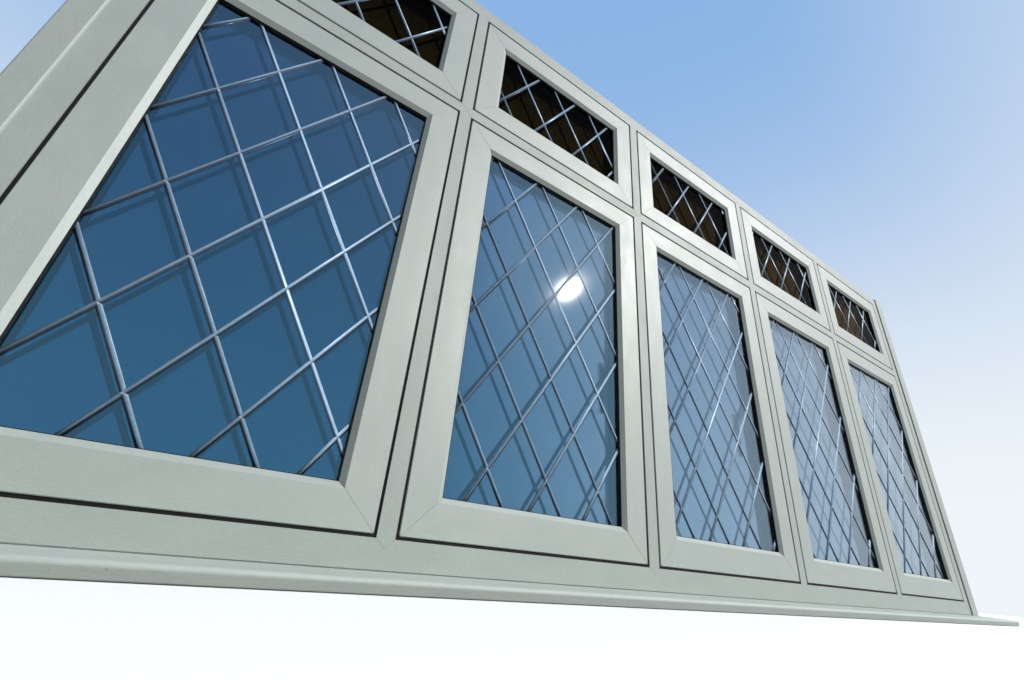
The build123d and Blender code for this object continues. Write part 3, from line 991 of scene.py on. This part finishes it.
def plate_mesh():
    """A back plate with round ends and softened edges, lying on the XY plane."""
    handles = bpy.context.scene.window_handles
    mesh = bmesh.new()
    bmesh.ops.create_cube(mesh, size=1.0)
    size = Vector((handles.plate_width, handles.plate_length, handles.plate_thickness))
    bmesh.ops.scale(mesh, vec=size, verts=mesh.verts)
    bmesh.ops.translate(mesh, vec=(0, 0, size.z / 2), verts=mesh.verts)
    corners = [edge for edge in mesh.edges if abs(edge.verts[0].co.z - edge.verts[1].co.z) > size.z / 2]
    soften(mesh, corners, size.x * PLATE_END_ROUNDING, 10)
    rim = [edge for edge in mesh.edges if all(vert.co.z > size.z * 0.9 for vert in edge.verts)]
    soften(mesh, rim, handles.edge_radius, 4)
    return mesh


def lever_mesh():
    """A lever on its neck: the arm tapers and thins towards its tip."""
    handles = bpy.context.scene.window_handles
    base = handles.plate_thickness
    level = base + handles.neck_length
    size = Vector((handles.root_width, handles.lever_length, handles.lever_thickness))
    start = -handles.root_width / 2
    mesh = bmesh.new()
    bmesh.ops.create_cube(mesh, size=1.0)
    bmesh.ops.scale(mesh, vec=size, verts=mesh.verts)
    bmesh.ops.translate(mesh, vec=(0, start + size.y / 2, level + size.z / 2), verts=mesh.verts)
    long_edges = [edge for edge in mesh.edges if abs(edge.verts[0].co.y - edge.verts[1].co.y) > size.y / 2]
    bmesh.ops.subdivide_edges(mesh, edges=long_edges, cuts=12, use_grid_fill=True)
    for vert in mesh.verts:
        run = (vert.co.y - start) / size.y
        vert.co.x *= 1 + (handles.tip_width / handles.root_width - 1) * run
        vert.co.z = level + (vert.co.z - level) * (1 - TIP_THINNING * run)
    sharp = [edge for edge in mesh.edges if edge.calc_face_angle(0.0) > 0.8]
    soften(mesh, sharp, handles.lever_edge_radius, 5)
    neck = bmesh.ops.create_cone(mesh, cap_ends=True, segments=32, radius1=handles.neck_radius * NECK_FLARE,
                                 radius2=handles.neck_radius, depth=handles.neck_length)["verts"]
    bmesh.ops.translate(mesh, vec=(0, 0, base + handles.neck_length / 2), verts=neck)
    return mesh


class CASEMENT_OT_handles(bpy.types.Operator):
    """Fit a lever handle on the room side of every casement"""
    bl_idname = "casement.handles"
    bl_label = "Handles"

    def execute(self, context):
        material = handle_material()
        forms = (("plate", plate_mesh, "handle_plates"), ("lever", lever_mesh, "handle_levers"))
        for name, place, along in handle_places():
            turn = handle_turn(place, along)
            for part, maker, node in forms:
                mesh = maker()
                bmesh.ops.transform(mesh, matrix=turn, verts=mesh.verts)
                bmesh.ops.recalc_face_normals(mesh, faces=mesh.faces)
                for face in mesh.faces:
                    face.smooth = len(face.verts) <= 4
                piece = new_piece(f"handle_{part}_{name}", mesh, material)
                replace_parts(piece, node)
        return {"FINISHED"}


STEPS = ("stage", "foil", "seals", "panes", "leads", "handles")


class CASEMENT_PT_window(bpy.types.Panel):
    """Lists the steps of the window's finish and their sizes and colours"""
    bl_idname = "CASEMENT_PT_window"
    bl_label = "Flush Casement Window"
    bl_space_type = "VIEW_3D"
    bl_region_type = "UI"
    bl_category = "Window"

    def draw(self, context):
        for step in STEPS:
            self.layout.operator(f"casement.{step}")
        for group in SETTINGS:
            box = self.layout.box()
            settings = getattr(context.scene, group)
            for name in settings.bl_rna.properties.keys():
                if name not in ("rna_type", "name"):
                    box.prop(settings, name)


OPERATORS = (
    CASEMENT_OT_stage,
    CASEMENT_OT_foil,
    CASEMENT_OT_seals,
    CASEMENT_OT_panes,
    CASEMENT_OT_leads,
    CASEMENT_OT_handles,
)


def register():
    """Register the settings, the operators and the panel."""
    for name, settings in SETTINGS.items():
        bpy.utils.register_class(settings)
        setattr(bpy.types.Scene, name, bpy.props.PointerProperty(type=settings))
    for operator in OPERATORS:
        bpy.utils.register_class(operator)
    bpy.utils.register_class(CASEMENT_PT_window)


def unregister():
    """Undo what register did."""
    bpy.utils.unregister_class(CASEMENT_PT_window)
    for operator in reversed(OPERATORS):
        bpy.utils.unregister_class(operator)
    for name, settings in reversed(SETTINGS.items()):
        delattr(bpy.types.Scene, name)
        bpy.utils.unregister_class(settings)


def main():
    """Dress the window."""
    register()
    for step in STEPS:
        getattr(bpy.ops.casement, step)()


if __name__ == "__main__":
    main()
